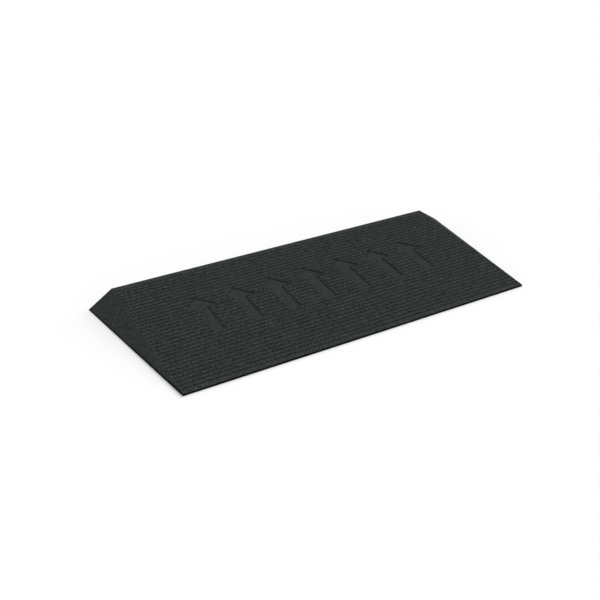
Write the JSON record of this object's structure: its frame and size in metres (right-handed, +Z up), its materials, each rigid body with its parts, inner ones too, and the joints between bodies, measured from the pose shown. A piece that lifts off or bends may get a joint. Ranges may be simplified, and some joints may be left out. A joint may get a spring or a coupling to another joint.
{
  "type": "portable wheelchair ramp",
  "caption": "Low wedge-shaped rubber ramp that bridges a door sill, with a cross-ribbed top, a row of recessed arrows and a tapering bevel on each side.",
  "frame": {"origin": "on the ground at the middle of the footprint's bounding box", "axes": "+X along the ramp's width, to the right for someone about to roll up it; +Y up the slope, from the low front edge to the high back face; +Z up"},
  "size_m": [1.036, 0.428, 0.042],
  "materials": {
    "tread_rubber": "matte fine crumb rubber, moulded in cross ribs, charcoal with a faint green cast",
    "edge_rubber": "matte fine crumb rubber, smooth moulded face, charcoal with a faint green cast",
    "core_rubber": "matte coarse bonded tyre crumb, open grain, black"
  },
  "bodies": {
    "root": {"base_core": "core_rubber", "tread_layer": "tread_rubber", "left_side_bevel": "edge_rubber", "right_side_bevel": "edge_rubber"}
  },
  "joints": []
}
